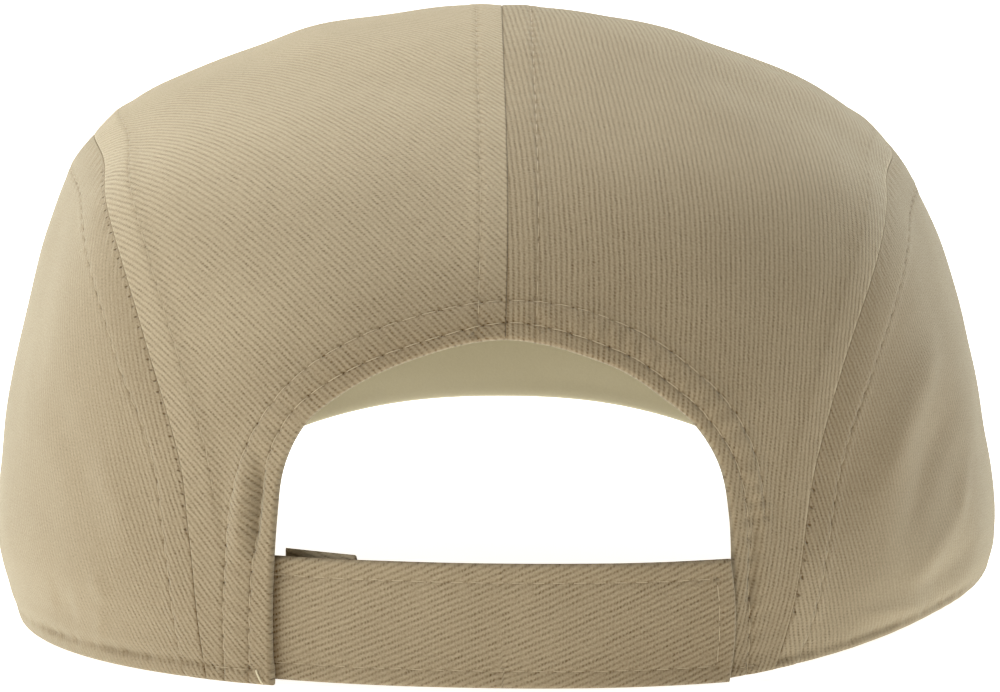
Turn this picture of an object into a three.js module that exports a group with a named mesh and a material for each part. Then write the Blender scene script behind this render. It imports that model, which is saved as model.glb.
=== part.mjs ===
import * as THREE from 'three';

// A five-panel camp cap of cotton twill, standing on its hem, in millimetres.
// +Z is up, +Y is the way the peak points, and +X is to the right as seen from behind.
// The front panel, two side panels and two back panels are sewn edge to edge into one dome.
// The back panels part in an arch above the hem, and a two-part strap closes it.

// Driving dimensions
const crownHeight = 113;        // from the hem to the top of the dome
const crownHalfWidth = 92.7;    // at the widest, a little above the hem
const backReach = 98.3;         // from the crown's axis to the back
const frontReach = 95.5;        // from the crown's axis to the front
const twillThickness = 1.6;
const pieceGap = 0.3;           // kept between pieces that are sewn together
const seamInset = 0.25;         // how far a panel's edge stays back from its seam line
const frontHemRise = 27.6;      // how far the hem climbs over the wearer's brow
const frontHemHalfAngle = 69;   // degrees each side of the front where that climb starts
const rightHemLift = 8.7;       // the right side of the hem stands off the table
const peakLength = 67;          // ahead of the crown, on the centre line
const peakHalfWidth = 83;
const peakThickness = 2.6;
const peakSlope = 0.1;          // fall for each millimetre ahead of the hem
const bandHeight = 28;
const bandThickness = 1.4;
const strapWidth = 22.4;
const strapBottom = 0.8;        // above the table
const strapThickness = 1.8;
const fastenerThickness = 1.7;
const seamDip = 1.1;            // how far the cloth sinks at a seam
const seamDipReach = 7;         // and over what distance

// Seen from above, each section is a rounded ring. The columns are shares: height of the crown's height,
// side of its half width, back and front of its reach. square is the ring's exponent, where 2 is an ellipse,
// and lean is how far the soft crown sways sideways there, in millimetres.
const crownSections = [
  { height: -0.09, side: 0.928, back: 0.937, front: 0.963, square: 2.2, lean: -1.5 },
  { height: 0, side: 0.95, back: 0.968, front: 0.984, square: 2.2, lean: -1.5 },
  { height: 0.14, side: 1, back: 0.997, front: 1, square: 2.2, lean: -1.3 },
  { height: 0.32, side: 0.982, back: 1, front: 0.99, square: 2.25, lean: -1.6 },
  { height: 0.49, side: 0.936, back: 0.972, front: 0.953, square: 2.4, lean: -1.5 },
  { height: 0.64, side: 0.881, back: 0.905, front: 0.89, square: 2.6, lean: -1.75 },
  { height: 0.76, side: 0.808, back: 0.799, front: 0.796, square: 2.7, lean: -2.5 },
  { height: 0.85, side: 0.68, back: 0.646, front: 0.665, square: 2.6, lean: -2.9 },
  { height: 0.917, side: 0.49, back: 0.463, front: 0.492, square: 2.4, lean: -2.2 },
  { height: 0.965, side: 0.325, back: 0.265, front: 0.283, square: 2.2, lean: -1.8 },
  { height: 1, side: 0, back: 0, front: 0, square: 2.0, lean: -1.8 },
];

// Seam guides. Each row gives a place beside the crown, and the seam is the smooth line through them,
// laid on the crown. left and right are the same seam on the two sides of the cap.
const shoulderSeam = [
  { left: -60, right: 57, reach: 45, height: 85 },
  { left: -72, right: 69, reach: 22, height: 86.5 },
  { left: -73.4, right: 74.3, reach: -6, height: 88 },
  { left: -71.1, right: 73.1, reach: -34, height: 87 },
  { left: -69.7, right: 71.7, reach: -51, height: 81.5 },
  { left: -66, right: 66.8, reach: -65, height: 71 },
  { left: -62.1, right: 61.3, reach: -75.5, height: 57 },
  { left: -56.3, right: 55.7, reach: -81, height: 41 },
  { left: -54, right: 52.6, reach: -82.3, height: 29 },
  { left: -51.9, right: 49.5, reach: -81.5, height: 16 },
  { left: -50.1, right: 45.4, reach: -79, height: 0 },
];
const frontSeam = [
  { left: -60, right: 57, reach: 45, height: 85 },
  { left: -71, right: 69, reach: 49, height: 62 },
  { left: -75, right: 73, reach: 49, height: 32 },
  { left: -74.5, right: 73, reach: 47, height: 0 },
];
const topFrontSeam = [
  { left: 0, right: 0, reach: 64, height: 99 },
  { left: -32, right: 31, reach: 59, height: 95 },
  { left: -60, right: 57, reach: 45, height: 85 },
];
const centreSeam = [
  { across: 0, reach: 64, height: 99 },
  { across: 0, reach: 35, height: 108 },
  { across: 0, reach: 0, height: 113 },
  { across: 0.3, reach: -35, height: 107 },
  { across: 0.8, reach: -66, height: 95 },
  { across: 1, reach: -83, height: 80 },
  { across: 0.6, reach: -93.6, height: 61.8 },
];
const openingArch = [
  { left: 0.6, right: 0.6, reach: -93.6, height: 61.8 },
  { left: -4.2, right: 5.2, reach: -93.7, height: 61.3 },
  { left: -10.6, right: 11.6, reach: -93.9, height: 59.8 },
  { left: -20.6, right: 21.2, reach: -94.1, height: 56.2 },
  { left: -28.9, right: 28.2, reach: -93.6, height: 51.4 },
  { left: -34.4, right: 33.9, reach: -92.7, height: 46.4 },
  { left: -37.8, right: 38.3, reach: -91.6, height: 39 },
  { left: -38.9, right: 39.8, reach: -90.8, height: 30 },
  { left: -39.5, right: 40, reach: -89.5, height: 18 },
  { left: -40, right: 40, reach: -87, height: 0 },
];

const colours = { twill: 0xa69679, band: 0xaba081, tape: 0x645a44 };
const material = (colour) => new THREE.MeshStandardMaterial({ color: colour, roughness: 0.95, metalness: 0 });

const heart = new THREE.Vector3(0, 0, 40);   // inside the dome: every surface point is seen from here
const degree = Math.PI / 180;

const smooth = (from, to, value) => THREE.MathUtils.smoothstep(value, from, to);

// The smooth value between b and c, where a and d are the values before and after them
function between(a, b, c, d, t) {
  const bend = (2 * a - 5 * b + 4 * c - d) * t ** 2;
  const twist = (3 * b - a - 3 * c + d) * t ** 3;
  return (2 * b + (c - a) * t + bend + twist) / 2;
}

// The sections in millimetres, with many steps between the rows
function fineSections(steps = 40) {
  const columns = ['height', 'side', 'back', 'front', 'square', 'lean'];
  const scales = [crownHeight, crownHalfWidth, backReach, frontReach, 1, 1];
  const rows = crownSections.map((row) => columns.map((name, i) => row[name] * scales[i]));
  const below = rows[0].map((value, i) => 2 * value - rows[1][i]);
  const beyond = rows.at(-2).map((value, i) => (i >= 1 && i <= 3 ? -value : value));   // keeps the top level
  const all = [below, ...rows, beyond];
  const fine = [];
  for (let i = 1; i < all.length - 2; i += 1) {
    const [a, b, c, d] = all.slice(i - 1, i + 3);
    for (let step = 0; step < steps; step += 1) {
      fine.push(columns.map((_, k) => between(a[k], b[k], c[k], d[k], step / steps)));
    }
  }
  fine.push(rows.at(-1));
  return fine;
}
const sections = fineSections();

function sectionAt(height) {
  let low = 0;
  let high = sections.length - 1;
  while (high - low > 1) {
    const middle = (low + high) >> 1;
    if (sections[middle][0] > height) high = middle;
    else low = middle;
  }
  const [below, above] = [sections[low], sections[high]];
  const t = THREE.MathUtils.clamp((height - below[0]) / (above[0] - below[0]), 0, 1);
  const [, ...values] = below.map((value, i) => value + (above[i] - value) * t);
  const [side, back, front] = values.map((value) => Math.max(value, 1e-6));
  return { side, back, front, square: values[3], lean: values[4] };
}

// Below 0 inside the crown, 0 on its outer face
function outside(point) {
  if (point.z > crownHeight) return 1 + point.z - crownHeight;
  const ring = sectionAt(point.z);
  const aside = Math.abs(point.x - ring.lean) / ring.side;
  const along = Math.abs(point.y) / (point.y < 0 ? ring.back : ring.front);
  return aside ** ring.square + along ** ring.square - 1;
}

// Where the line from start along direction leaves the crown
function leaves(start, direction) {
  const point = new THREE.Vector3();
  let near = 0;
  let far = 2 * backReach;
  for (let i = 0; i < 40; i += 1) {
    const middle = (near + far) / 2;
    point.copy(start).addScaledVector(direction, middle);
    if (outside(point) < 0) near = middle;
    else far = middle;
  }
  return point;
}

const onCrown = (point) => leaves(heart, point.clone().sub(heart).normalize());

// The crown's outward direction, level near the hem so that the hem's edge is level too
function outward(point) {
  const step = 0.6;
  const slope = ['x', 'y', 'z'].map((axis) => {
    const ahead = point.clone();
    const behind = point.clone();
    ahead[axis] += step;
    behind[axis] -= step;
    return outside(ahead) - outside(behind);
  });
  slope[2] *= smooth(0, 40, point.z);
  return new THREE.Vector3(...slope).normalize();
}

// The height of the lowest edge, at degrees from the front and positive to the right
function hemHeight(angle) {
  const off = Math.min(Math.abs(angle) / frontHemHalfAngle, 1);
  const climb = frontHemRise * (1 + Math.cos(Math.PI * off ** 1.2)) / 2;
  const fromSide = (angle - 102) / (angle > 102 ? 70 : 38);
  const lift = Math.abs(fromSide) < 1 ? rightHemLift * Math.cos(fromSide * 90 * degree) ** 2 : 0;
  return climb + lift;
}

// Room above the peak, so that the front panel stands on it
const peakRoom = (angle) => (peakThickness + 2 * pieceGap) * (1 - smooth(58, 68, Math.abs(angle)));

const planAngle = (point) => Math.atan2(point.x, point.y) / degree;

// A point of the crown's outer face above the hem, found by its plan angle and height
function ringPoint(angle, height) {
  const direction = new THREE.Vector3(Math.sin(angle * degree), Math.cos(angle * degree), 0);
  return leaves(new THREE.Vector3(0, 0, height), direction);
}

const panelHem = (angle) => ringPoint(angle, hemHeight(angle) + peakRoom(angle));

// A smooth line on the crown through a table's rows, by shares of its length. The foot ends on the hem.
function seamLine(table, side, endsOnHem = false) {
  const guides = table.map((row) => onCrown(new THREE.Vector3(row[side], row.reach, row.height)));
  if (endsOnHem) guides.push(panelHem(planAngle(guides.pop())));
  const curve = new THREE.CatmullRomCurve3(guides, false, 'catmullrom', 0.5);
  return (share) => onCrown(curve.getPointAt(THREE.MathUtils.clamp(share, 0, 1)));
}

// One line made of two that meet, the first taking the given share
const joined = (first, second, share) => (t) => (
  t < share ? first(t / share) : second((t - share) / (1 - share))
);

const hemLine = (from, to) => (t) => panelHem(from + (to - from) * t);

// Steps from 0 to 1 that crowd towards both ends, where the cloth bends into its seams
const edgeSteps = (count) => Array.from({ length: count + 1 }, (_, i) => {
  const t = i / count;
  return t - 0.45 * Math.sin(2 * Math.PI * t) / (2 * Math.PI);
});

const evenSteps = (count) => Array.from({ length: count + 1 }, (_, i) => i / count);

// Steps for a line with a corner in it: one step falls on the corner
const cornerSteps = (corner, before, after) => [
  ...edgeSteps(before).map((t) => t * corner),
  ...evenSteps(after).slice(1).map((t) => corner + (1 - corner) * t),
];

// A closed wall between an outer and an inner grid of points
function wall(name, colour, outer, inner) {
  const rows = outer.length;
  const columns = outer[0].length;
  const points = [...outer.flat(), ...inner.flat()];
  const [endRow, endColumn] = [rows - 1, columns - 1];
  const at = (layer, row, column) => layer * rows * columns + row * columns + column;
  const corners = [];
  const quad = (a, b, c, d) => corners.push(a, b, c, a, c, d);
  for (let row = 0; row < endRow; row += 1) {
    for (let column = 0; column < endColumn; column += 1) {
      quad(at(0, row, column), at(0, row, column + 1), at(0, row + 1, column + 1), at(0, row + 1, column));
      quad(at(1, row, column), at(1, row + 1, column), at(1, row + 1, column + 1), at(1, row, column + 1));
    }
  }
  for (let row = 0; row < endRow; row += 1) {
    quad(at(0, row, 0), at(0, row + 1, 0), at(1, row + 1, 0), at(1, row, 0));
    quad(at(0, row + 1, endColumn), at(0, row, endColumn), at(1, row, endColumn), at(1, row + 1, endColumn));
  }
  for (let column = 0; column < endColumn; column += 1) {
    quad(at(0, 0, column + 1), at(0, 0, column), at(1, 0, column), at(1, 0, column + 1));
    quad(at(0, endRow, column), at(0, endRow, column + 1), at(1, endRow, column + 1), at(1, endRow, column));
  }
  let volume = 0;
  for (let i = 0; i < corners.length; i += 3) {
    const [a, b, c] = corners.slice(i, i + 3).map((corner) => points[corner]);
    volume += a.dot(b.clone().cross(c)) / 6;
  }
  if (volume < 0) corners.reverse();
  const geometry = new THREE.BufferGeometry();
  geometry.setAttribute('position', new THREE.Float32BufferAttribute(points.flatMap((p) => p.toArray()), 3));
  geometry.setIndex(corners);
  geometry.computeVertexNormals();
  const mesh = new THREE.Mesh(geometry, material(colour));
  mesh.name = name;
  return mesh;
}

// Every seam as a row of places, to find how near a point of the cloth is to one
const seams = {};
for (const side of ['left', 'right']) {
  seams[side] = {
    shoulder: seamLine(shoulderSeam, side, true),
    front: seamLine(frontSeam, side, true),
    topFront: seamLine(topFrontSeam, side),
    arch: seamLine(openingArch, side, true),
  };
}
const centre = seamLine(centreSeam, 'across');
const seamPlaces = [centre, ...['left', 'right'].flatMap((side) => {
  const { shoulder, front, topFront } = seams[side];
  return [shoulder, front, topFront];
})].flatMap((line) => evenSteps(60).map(line));

// The cloth sinks at its seams, above the sweatband that backs it
function dipAt(point) {
  const nearest = Math.min(...seamPlaces.map((place) => place.distanceToSquared(point)));
  const aboveBand = smooth(bandHeight + 2, bandHeight + 22, point.z);
  return seamDip * Math.exp(-nearest / (seamDipReach / 2) ** 2) * aboveBand;
}

// A panel spread between four lines on the crown: first to last along the panel, near to far across it.
// inset is how far each of its edges stays back from the line, for the gap to the next panel.
function panel(name, colour, { near, far, first, last, inset, along, across }) {
  const corner = [first(0), first(1), last(0), last(1)];
  const spread = (s, t) => {
    const point = new THREE.Vector3();
    point.addScaledVector(first(s), 1 - t).addScaledVector(last(s), t);
    point.addScaledVector(near(t), 1 - s).addScaledVector(far(t), s);
    point.addScaledVector(corner[0], -(1 - s) * (1 - t)).addScaledVector(corner[1], -s * (1 - t));
    point.addScaledVector(corner[2], -(1 - s) * t).addScaledVector(corner[3], -s * t);
    return onCrown(point);
  };
  const outer = along.map((t) => across.map((s) => {
    const width = near(t).distanceTo(far(t));
    const length = first(s).distanceTo(last(s));
    const stepIn = (value, low, high, size) => value * (1 - (low + high) / size) + low / size;
    return spread(stepIn(s, inset.near, inset.far, width), stepIn(t, inset.first, inset.last, length));
  }));
  const under = (depth) => outer.map((row) => row.map((p) => (
    p.clone().addScaledVector(outward(p), -dipAt(p) - depth)
  )));
  return wall(name, colour, under(0), under(twillThickness));
}

function sidePanel(side, colour) {
  const { shoulder, front } = seams[side];
  const back = 0.44;   // share of the shoulder seam that runs over the top, before it turns down the back
  const frontFoot = planAngle(front(1));
  const backFoot = planAngle(shoulder(1));
  return panel(`side_panel_${side}`, colour, {
    near: (t) => front(1 - t),
    far: (t) => shoulder(1 - t * (1 - back)),
    first: hemLine(frontFoot, backFoot),
    last: (s) => shoulder(s * back),
    inset: { near: seamInset, far: seamInset, first: 0, last: seamInset },
    along: edgeSteps(13),
    across: edgeSteps(22),
  });
}

function backPanel(side, colour) {
  const { shoulder, topFront, arch } = seams[side];
  const overTop = 0.655;   // share of the inner edge that is the centre seam, before the opening
  return panel(`back_panel_${side}`, colour, {
    near: joined(centre, arch, overTop),
    far: shoulder,
    first: topFront,
    last: hemLine(planAngle(arch(1)), planAngle(shoulder(1))),
    inset: { near: seamInset, far: seamInset, first: seamInset, last: 0 },
    along: cornerSteps(overTop, 20, 11),
    across: edgeSteps(13),
  });
}

function frontPanel(colour) {
  const { left, right } = seams;
  return panel('front_panel', colour, {
    near: (t) => left.front(1 - t),
    far: (t) => right.front(1 - t),
    first: hemLine(planAngle(left.front(1)), planAngle(right.front(1))),
    last: joined((t) => left.topFront(1 - t), right.topFront, 0.5),
    inset: { near: seamInset, far: seamInset, first: 0, last: seamInset },
    along: edgeSteps(12),
    across: edgeSteps(26),
  });
}

// The sweatband lines the crown from one side of the opening round the front to the other
function sweatband(colour) {
  const leftEnd = planAngle(seams.left.shoulder(1)) + 2;
  const rightEnd = planAngle(seams.right.shoulder(1)) - 2;
  const layer = (depth) => evenSteps(4).map((rise) => evenSteps(76).map((share) => {
    const angle = leftEnd + (rightEnd - leftEnd) * share;
    const point = ringPoint(angle, hemHeight(angle) + bandHeight * rise);
    return point.addScaledVector(outward(point), -depth);
  }));
  const depth = twillThickness + pieceGap;
  return wall('sweatband', colour, layer(depth), layer(depth + bandThickness));
}

// The peak runs out from between the front panel's hem and the sweatband. Seen from above its edge is
// a squared oval, which turns in again to meet the crown.
function peak(colour) {
  const endAngle = 56;
  const widestReach = 72;
  const oval = { ahead: frontReach + peakLength - widestReach, behind: 34, square: 2.5, turn: 115 };
  const outline = (share) => {
    const turn = (2 * share - 1) * oval.turn * degree;
    const bend = (value) => Math.sign(value) * Math.abs(value) ** (2 / oval.square);
    const depth = Math.cos(turn) > 0 ? oval.ahead : oval.behind;
    const aside = peakHalfWidth * bend(Math.sin(turn));
    return new THREE.Vector3(aside, widestReach + depth * bend(Math.cos(turn)), 0);
  };
  const layer = (thickness) => evenSteps(9).map((out) => evenSteps(30).map((share) => {
    const angle = endAngle * (2 * share - 1);
    const start = ringPoint(angle, hemHeight(angle));
    start.addScaledVector(outward(start), -twillThickness / 2);
    const end = outline(share).setZ(start.z);
    const point = start.clone().lerp(end, out);
    point.z += pieceGap + thickness - peakSlope * start.distanceTo(point);
    return point;
  }));
  return wall('peak', colour, layer(peakThickness), layer(0));
}

// A strip across the opening at the back.
// stand(x) is how far its outer face stands out from the crown's line.
function strip(name, colour, { from, to, steps, bottom, top, stand, thickness }) {
  const layer = (depth) => evenSteps(3).map((rise) => steps.map((share) => {
    const x = from + (to - from) * share;
    const height = bottom(x) + (top(x) - bottom(x)) * rise;
    const ring = sectionAt(height);
    const y = -ring.back * (1 - (Math.abs(x - ring.lean) / ring.side) ** ring.square) ** (1 / ring.square);
    const point = new THREE.Vector3(x, y, height);
    return point.addScaledVector(outward(point), stand(x) - depth);
  }));
  return wall(name, colour, layer(0), layer(thickness));
}

// The outer strap comes from inside the left edge, crosses the opening and ends on the right edge.
// The inner strap comes from inside the right edge, and its turned end stands a little above the outer one.
const insideStand = -(twillThickness + pieceGap);
const outerStand = (x) => insideStand + (pieceGap + strapThickness - insideStand) * smooth(-44, 37, x);
const closureDepth = strapThickness + fastenerThickness + 2 * pieceGap;
const innerStand = (x) => insideStand - closureDepth * (1 - smooth(-44, 37, x));
const strapTop = strapBottom + strapWidth;

function outerStrap(colour) {
  return strip('strap_outer', colour, {
    from: -50, to: 39.1, steps: evenSteps(20), bottom: () => strapBottom, top: () => strapTop,
    stand: outerStand, thickness: strapThickness,
  });
}

function innerStrap(colour) {
  const [leftEnd, rightEnd, turnEnd] = [-40.3, 46.5, -26.8];
  const turnShare = (turnEnd - leftEnd) / (rightEnd - leftEnd);
  const turned = evenSteps(3).map((share) => share * turnShare);
  const plain = evenSteps(15).map((share) => turnShare + 0.002 + (1 - turnShare - 0.002) * share);
  return strip('strap_inner', colour, {
    from: leftEnd, to: rightEnd, steps: [...turned, ...plain], bottom: () => strapBottom + 0.6,
    top: (x) => (x <= turnEnd + 0.05 ? strapTop + 0.05 + (turnEnd - x) * 0.045 : strapTop - 0.9),
    stand: innerStand, thickness: strapThickness,
  });
}

function fastener(colour) {
  return strip('strap_fastener', colour, {
    from: -35, to: 14, steps: evenSteps(12), bottom: () => strapBottom + 2, top: () => strapTop - 2,
    stand: (x) => outerStand(x) - strapThickness - pieceGap, thickness: fastenerThickness,
  });
}

const cap = new THREE.Group();
cap.add(
  frontPanel(colours.twill),
  sidePanel('left', colours.twill),
  sidePanel('right', colours.twill),
  backPanel('left', colours.twill),
  backPanel('right', colours.twill),
  peak(colours.twill),
  sweatband(colours.band),
  outerStrap(colours.twill),
  innerStrap(colours.twill),
  fastener(colours.tape),
);

// The origin is under the middle of the whole cap, on the table
const box = new THREE.Box3().setFromObject(cap);
const middle = box.getCenter(new THREE.Vector3());
cap.position.set(-middle.x, -middle.y, -box.min.z);

export default cap;
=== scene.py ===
import functools
import math

import bpy
import numpy as np
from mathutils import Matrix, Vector


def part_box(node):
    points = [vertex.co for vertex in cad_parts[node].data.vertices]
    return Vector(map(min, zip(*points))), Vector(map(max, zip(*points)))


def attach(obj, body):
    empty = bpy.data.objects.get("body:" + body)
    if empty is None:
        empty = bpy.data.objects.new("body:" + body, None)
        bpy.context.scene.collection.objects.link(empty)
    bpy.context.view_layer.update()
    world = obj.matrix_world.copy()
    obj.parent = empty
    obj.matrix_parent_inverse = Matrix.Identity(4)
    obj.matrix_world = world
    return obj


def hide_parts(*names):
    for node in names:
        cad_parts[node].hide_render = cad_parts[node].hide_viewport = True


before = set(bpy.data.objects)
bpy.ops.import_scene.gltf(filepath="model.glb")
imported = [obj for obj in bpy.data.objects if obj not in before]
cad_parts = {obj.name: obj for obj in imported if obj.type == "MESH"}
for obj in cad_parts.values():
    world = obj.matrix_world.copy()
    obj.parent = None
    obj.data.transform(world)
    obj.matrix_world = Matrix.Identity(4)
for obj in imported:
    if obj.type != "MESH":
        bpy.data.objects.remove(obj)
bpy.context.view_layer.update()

# A washed cotton-twill camp cap standing on its hem, seen from behind.
# Shapes are worked out in millimetres round the crown's own axis and moved to the frame at the end.

peakLow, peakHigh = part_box("peak")
scene = bpy.context.scene
rng = np.random.default_rng(5)

crown = {
    "height": 113.0,        # from the hem to the top of the dome
    "halfWidth": 92.7,
    "backReach": 98.3,
    "frontReach": 95.5,
    "peakLength": 67.0,
    "hemRise": 27.6,        # climb of the hem over the brow
    "hemHalfAngle": 69.0,
    "rightLift": 8.7,       # the right of the hem stands off the table
    "liftAngle": 102,       # where it stands highest, in degrees from the front
    "liftReach": (70, 38),  # how far round that dies away, to the back and to the front
    "peakRoom": 3.2,        # the front panel stands on the peak, so its hem is this much higher
    "peakEnds": (58, 68),   # degrees from the front where that dies away
    "seamDip": 0.25,        # how far the cloth sinks at its seams
    # shares of the height, half width, back and front reach, then the ring's exponent and its lean in mm
    "sections": [
        (-0.09, 0.928, 0.937, 0.963, 2.2, -1.5),
        (0, 0.95, 0.968, 0.984, 2.2, -1.5),
        (0.14, 1, 0.997, 1, 2.2, -1.3),
        (0.32, 0.982, 1, 0.99, 2.25, -1.6),
        (0.49, 0.936, 0.972, 0.953, 2.4, -1.5),
        (0.64, 0.881, 0.905, 0.89, 2.6, -1.75),
        (0.76, 0.808, 0.799, 0.796, 2.7, -2.5),
        (0.85, 0.68, 0.646, 0.665, 2.6, -2.9),
        (0.917, 0.49, 0.463, 0.492, 2.4, -2.2),
        (0.965, 0.325, 0.265, 0.283, 2.2, -1.8),
        (1, 0, 0, 0, 2, -1.8),
    ],
}
axis = np.array([(peakLow.x + peakHigh.x) / 2, peakHigh.y, 0]) * 1000
axis[1] -= crown["frontReach"] + crown["peakLength"]   # the peak's tip lies this far ahead of the axis

view = {
    "target": (-0.37, 0, 49),   # mm from the crown's axis
    "distance": 1250,
    "elevation": 7,             # degrees above level
    "lens": 241.2,              # mm, on a sensor 36 mm wide
}


def toFrame(points):   # from mm round the crown's axis to metres in the frame
    return (np.asarray(points, float) + axis) / 1000


def addObject(name, data):
    made = bpy.data.objects.new(name, data)
    scene.collection.objects.link(made)
    return made


def makeCamera():
    data = bpy.data.cameras.new("behindCap")
    data.lens = view["lens"]
    data.sensor_width = 36
    data.clip_start, data.clip_end = 0.05, 50
    camera = addObject("behindCap", data)
    rise = math.radians(view["elevation"])
    back = Vector((0, -math.cos(rise), math.sin(rise)))
    camera.location = Vector(toFrame(view["target"])) + back * view["distance"] / 1000
    camera.rotation_euler = (-back).to_track_quat("-Z", "Y").to_euler()
    scene.camera = camera


makeCamera()
print("camera set")


# The crown's shape

def smooth(low, high, value):
    t = np.clip((value - low) / (high - low), 0, 1)
    return t * t * (3 - 2 * t)

def bell(off, width):
    return np.exp(-(off / width) ** 2)


def unit(vectors):
    return vectors / np.maximum(np.linalg.norm(vectors, axis=-1, keepdims=True), 1e-12)


def curveThrough(rows, steps):   # a smooth curve through every row but the first and the last
    t = np.linspace(0, 1, steps, endpoint=False)[:, None]
    fine = []
    for a, b, c, d in zip(rows, rows[1:], rows[2:], rows[3:]):
        bend, twist = 2 * a - 5 * b + 4 * c - d, 3 * b - a - 3 * c + d
        fine.append((2 * b + (c - a) * t + bend * t ** 2 + twist * t ** 3) / 2)
    return np.vstack([*fine, rows[-2:-1]])


def fineSections():
    scales = [crown["height"], crown["halfWidth"], crown["backReach"], crown["frontReach"], 1, 1]
    rows = np.array(crown["sections"], float) * scales
    beyond = rows[-2] * [1, -1, -1, -1, 1, 1]   # keeps the top level
    return curveThrough(np.vstack([2 * rows[0] - rows[1], rows, beyond]), steps=40)


sections = fineSections()


def sectionAt(height):
    values = [np.interp(height, sections[:, 0], sections[:, i]) for i in range(1, 6)]
    return [np.maximum(v, 1e-6) for v in values[:3]] + values[3:]


def outside(points):   # below 0 inside the crown, 0 on its outer face
    x, y, z = points[..., 0], points[..., 1], points[..., 2]
    side, back, front, square, lean = sectionAt(z)
    ring = (np.abs(x - lean) / side) ** square + (np.abs(y) / np.where(y < 0, back, front)) ** square
    return np.where(z > crown["height"], 10 + z, ring) - 1


def leaves(start, direction):   # where a line from inside meets the outer face
    near, far = np.zeros(direction.shape[:-1]), np.full(direction.shape[:-1], 200.0)
    for _ in range(34):
        middle = (near + far) / 2
        inside = outside(start + direction * middle[..., None]) < 0
        near, far = np.where(inside, middle, near), np.where(inside, far, middle)
    return start + direction * near[..., None]


heart = np.array([0, 0, 40.0])


def onCrown(points):
    return leaves(heart, unit(np.asarray(points, float) - heart))


def outward(points):
    slope = []
    for step in np.eye(3) * 0.6:
        slope.append(outside(points + step) - outside(points - step))
    slope[2] = slope[2] * smooth(0, 40, points[..., 2])   # the hem's edge stays level
    return unit(np.stack(slope, -1))


def planAngle(points):   # degrees from the front, positive to the right
    return np.degrees(np.arctan2(points[..., 0], points[..., 1]))


def hemHeight(angle):
    off = np.minimum(np.abs(angle) / crown["hemHalfAngle"], 1)
    climb = crown["hemRise"] * (1 + np.cos(np.pi * off ** 1.2)) / 2
    middle = crown["liftAngle"]
    fromSide = np.clip((angle - middle) / np.where(angle > middle, *crown["liftReach"]), -1, 1)
    return climb + crown["rightLift"] * np.cos(fromSide * np.pi / 2) ** 2


def ringPoint(angle, height):
    angle = np.radians(angle)
    direction = np.stack([np.sin(angle), np.cos(angle), 0 * angle], -1)
    start = np.stack([0 * angle, 0 * angle, height + 0 * angle], -1)
    return leaves(start, direction)


def peakRoom(angle):
    return crown["peakRoom"] * (1 - smooth(*crown["peakEnds"], np.abs(angle)))


def panelHem(angle):
    return ringPoint(angle, hemHeight(angle) + peakRoom(angle))


# Seam lines: guides in mm, as left x, right x, reach and height

guides = {
    "shoulder": [
        (-60, 57, 45, 85), (-72, 69, 22, 86.5), (-73.4, 74.3, -6, 88), (-71.1, 73.1, -34, 87),
        (-69.7, 71.7, -51, 81.5), (-66, 66.8, -65, 71), (-62.1, 61.3, -75.5, 57), (-56.3, 55.7, -81, 41),
        (-54, 52.6, -82.3, 29), (-51.9, 49.5, -81.5, 16), (-50.1, 45.4, -79, 0),
    ],
    "front": [(-60, 57, 45, 85), (-71, 69, 49, 62), (-75, 73, 49, 32), (-74.5, 73, 47, 0)],
    "topFront": [(0, 0, 64, 99), (-32, 31, 59, 95), (-60, 57, 45, 85)],
    "centre": [
        (0, 0, 64, 99), (0, 0, 35, 108), (0, 0, 0, 113), (0.3, 0.3, -35, 107),
        (0.8, 0.8, -66, 95), (1, 1, -83, 80), (0.6, 0.6, -93.6, 61.8),
    ],
    "arch": [
        (0.6, 0.6, -93.6, 61.8), (-4.2, 5.2, -93.7, 61.3), (-10.6, 11.6, -93.9, 59.8), (-20.6, 21.2, -94.1, 56.2),
        (-28.9, 28.2, -93.6, 51.4), (-34.4, 33.9, -92.7, 46.4), (-37.8, 38.3, -91.6, 39),
        (-38.9, 39.8, -90.8, 30), (-39.5, 40, -89.5, 18), (-40, 40, -87, 0),
    ],
}
lineSteps = 521


def measured(points):   # a line as places, lengths from its start, directions and whole length
    along = np.r_[0, np.cumsum(np.linalg.norm(np.diff(points, axis=0), axis=1))]
    return {"at": points, "along": along, "way": unit(np.gradient(points, axis=0)), "length": along[-1]}


def readOff(where, known, values):   # rows of values at places between the known ones
    return np.stack([np.interp(where, known, column) for column in values.T], -1)


def evenly(line, steps):   # the same line in even steps, laid on the crown
    return measured(onCrown(readOff(np.linspace(0, line["length"], steps), line["along"], line["at"])))


def seamLine(name, side, footOnHem=False):
    column = 0 if side == "left" else 1
    rows = onCrown(np.array([(row[column], row[2], row[3]) for row in guides[name]], float))
    if footOnHem:
        rows[-1] = panelHem(planAngle(rows[-1]))
    rows = np.vstack([2 * rows[0] - rows[1], rows, 2 * rows[-1] - rows[-2]])
    return evenly(measured(curveThrough(rows, steps=60)), lineSteps)


def at(line, share):
    return readOff(share, np.linspace(0, 1, lineSteps), line["at"])


def nearest(points, line):   # how far points are from a line, and how far along it
    samples = line["at"]
    square = (points ** 2).sum(1)[:, None] + (samples ** 2).sum(1) - 2 * points @ samples.T
    k = square.argmin(1)
    off = points - samples[k]
    ahead = (off * line["way"][k]).sum(1)
    return np.sqrt(np.maximum((off ** 2).sum(1) - ahead ** 2, 0)), line["along"][k] + ahead


def hemLine(start, end):
    return measured(panelHem(np.linspace(start, end, lineSteps)))


seams = {"centre": seamLine("centre", "left")}
for side in ("left", "right"):
    for name in ("shoulder", "front", "topFront", "arch"):
        seams[name, side] = seamLine(name, side, footOnHem=name != "topFront")
print("seams laid out")


# Meshes and materials

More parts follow.
